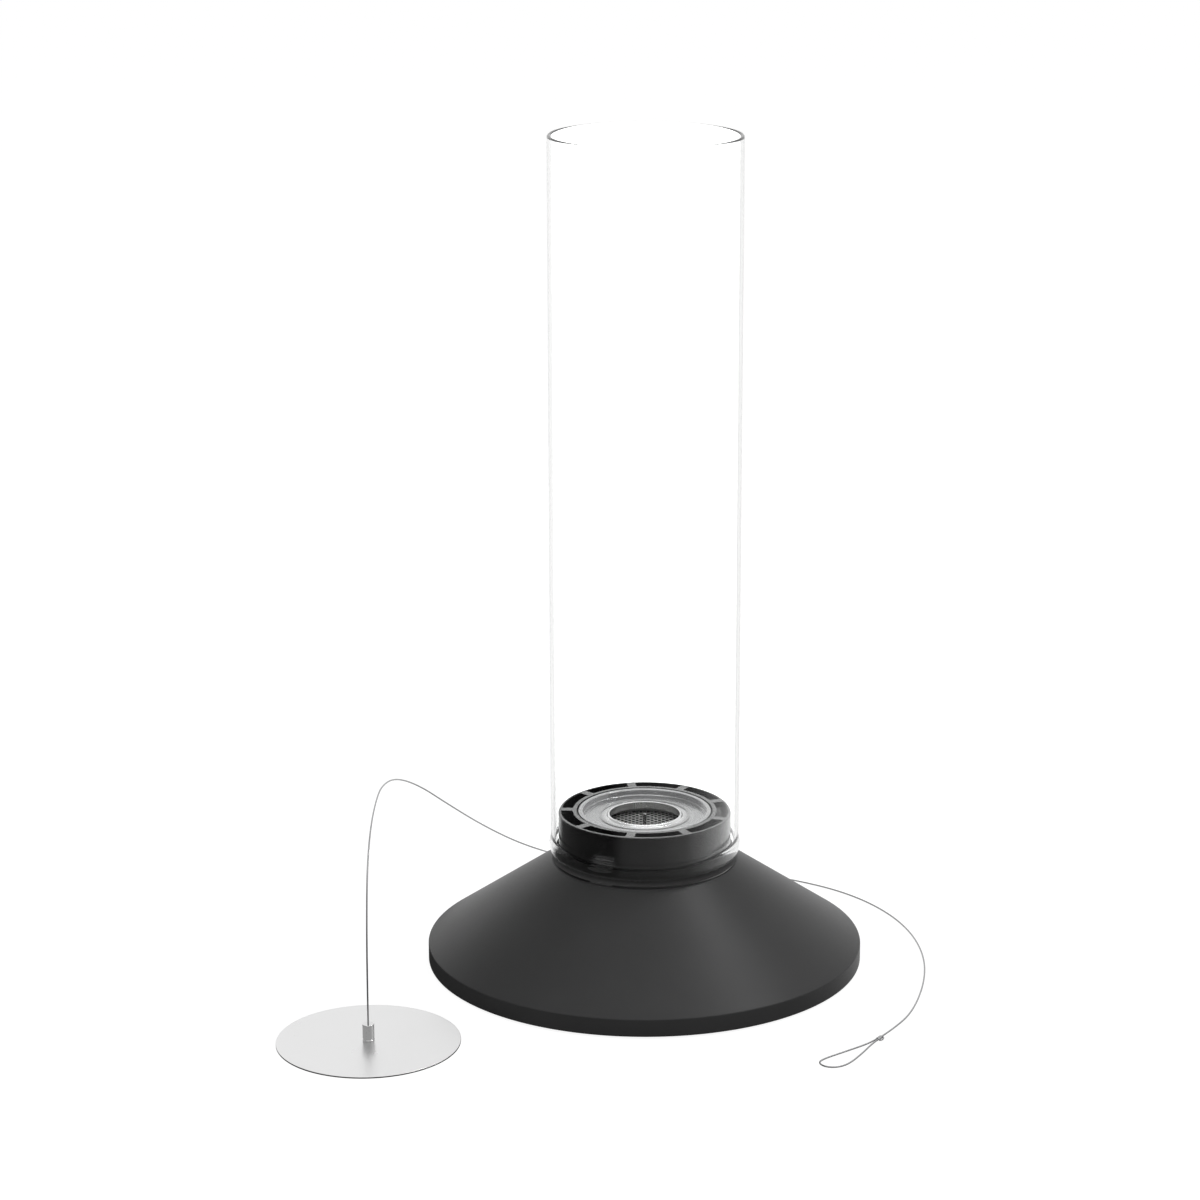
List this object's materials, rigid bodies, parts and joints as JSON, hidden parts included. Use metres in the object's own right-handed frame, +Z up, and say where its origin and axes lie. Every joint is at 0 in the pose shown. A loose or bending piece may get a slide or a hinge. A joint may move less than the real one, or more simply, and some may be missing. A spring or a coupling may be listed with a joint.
{
  "type": "tabletop fireplace",
  "caption": "Tabletop fireplace: clear glass tube on a dark cone base with a slotted burner housing and lift-out burner, and a steel snuffer disc on a wire with a hand loop.",
  "frame": {"origin": "on the table, on the axis of the base and the glass tube, in the middle of the foot ring's flat face", "axes": "+Z up along the glass tube; -Y towards the viewer, the snuffer lies at -X -Y with its wire running round behind the base"},
  "size_m": [0.4032, 0.3718, 0.53],
  "materials": {
    "powder_coat": "fine-textured dark grey powder coat",
    "plate_paint": "black powder coat",
    "screw_steel": "zinc-plated steel",
    "foot_rubber": "black rubber",
    "housing_black": "semi-gloss black enamel",
    "seat_rubber": "black silicone",
    "clear_glass": "clear borosilicate glass",
    "can_steel": "drawn stainless steel",
    "burner_steel": "lathe-turned stainless steel",
    "mesh_steel": "woven stainless wire",
    "ceramic_wool": "white ceramic fibre",
    "disc_steel": "satin stainless sheet",
    "ferrule_steel": "turned stainless steel",
    "wire_steel": "stranded stainless wire"
  },
  "bodies": {
    "base": {"base_shell": "powder_coat", "bottom_plate": "plate_paint", "plate_ring": "plate_paint", "plate_screws": "screw_steel", "foot_ring": "foot_rubber", "burner_housing": "housing_black", "housing_screws": "screw_steel", "burner_sleeve": "housing_black", "swirl_blades": "housing_black", "glass_seat": "seat_rubber"},
    "glass": {"glass_tube": "clear_glass"},
    "burner": {"burner_can": "can_steel", "burner_lid": "burner_steel", "burner_mesh": "mesh_steel", "mesh_collar": "can_steel", "burner_wool": "ceramic_wool", "burner_pin": "can_steel"},
    "snuffer": {"snuffer_disc": "disc_steel", "snuffer_ferrule": "ferrule_steel", "snuffer_wire": "wire_steel", "wire_crimp": "wire_steel", "wire_loop": "wire_steel"}
  },
  "joints": [
    {"name": "glass_lift", "type": "slide", "parent": "base", "child": "glass", "axis": [0, 0, 1], "range_m": [0, 0.045]},
    {"name": "burner_lift", "type": "slide", "parent": "base", "child": "burner", "axis": [0, 0, 1], "range_m": [0, 0.08]},
    {"name": "snuffer_lift", "type": "slide", "parent": "base", "child": "snuffer", "axis": [0, 0, 1], "range_m": [0, 0.05]}
  ]
}
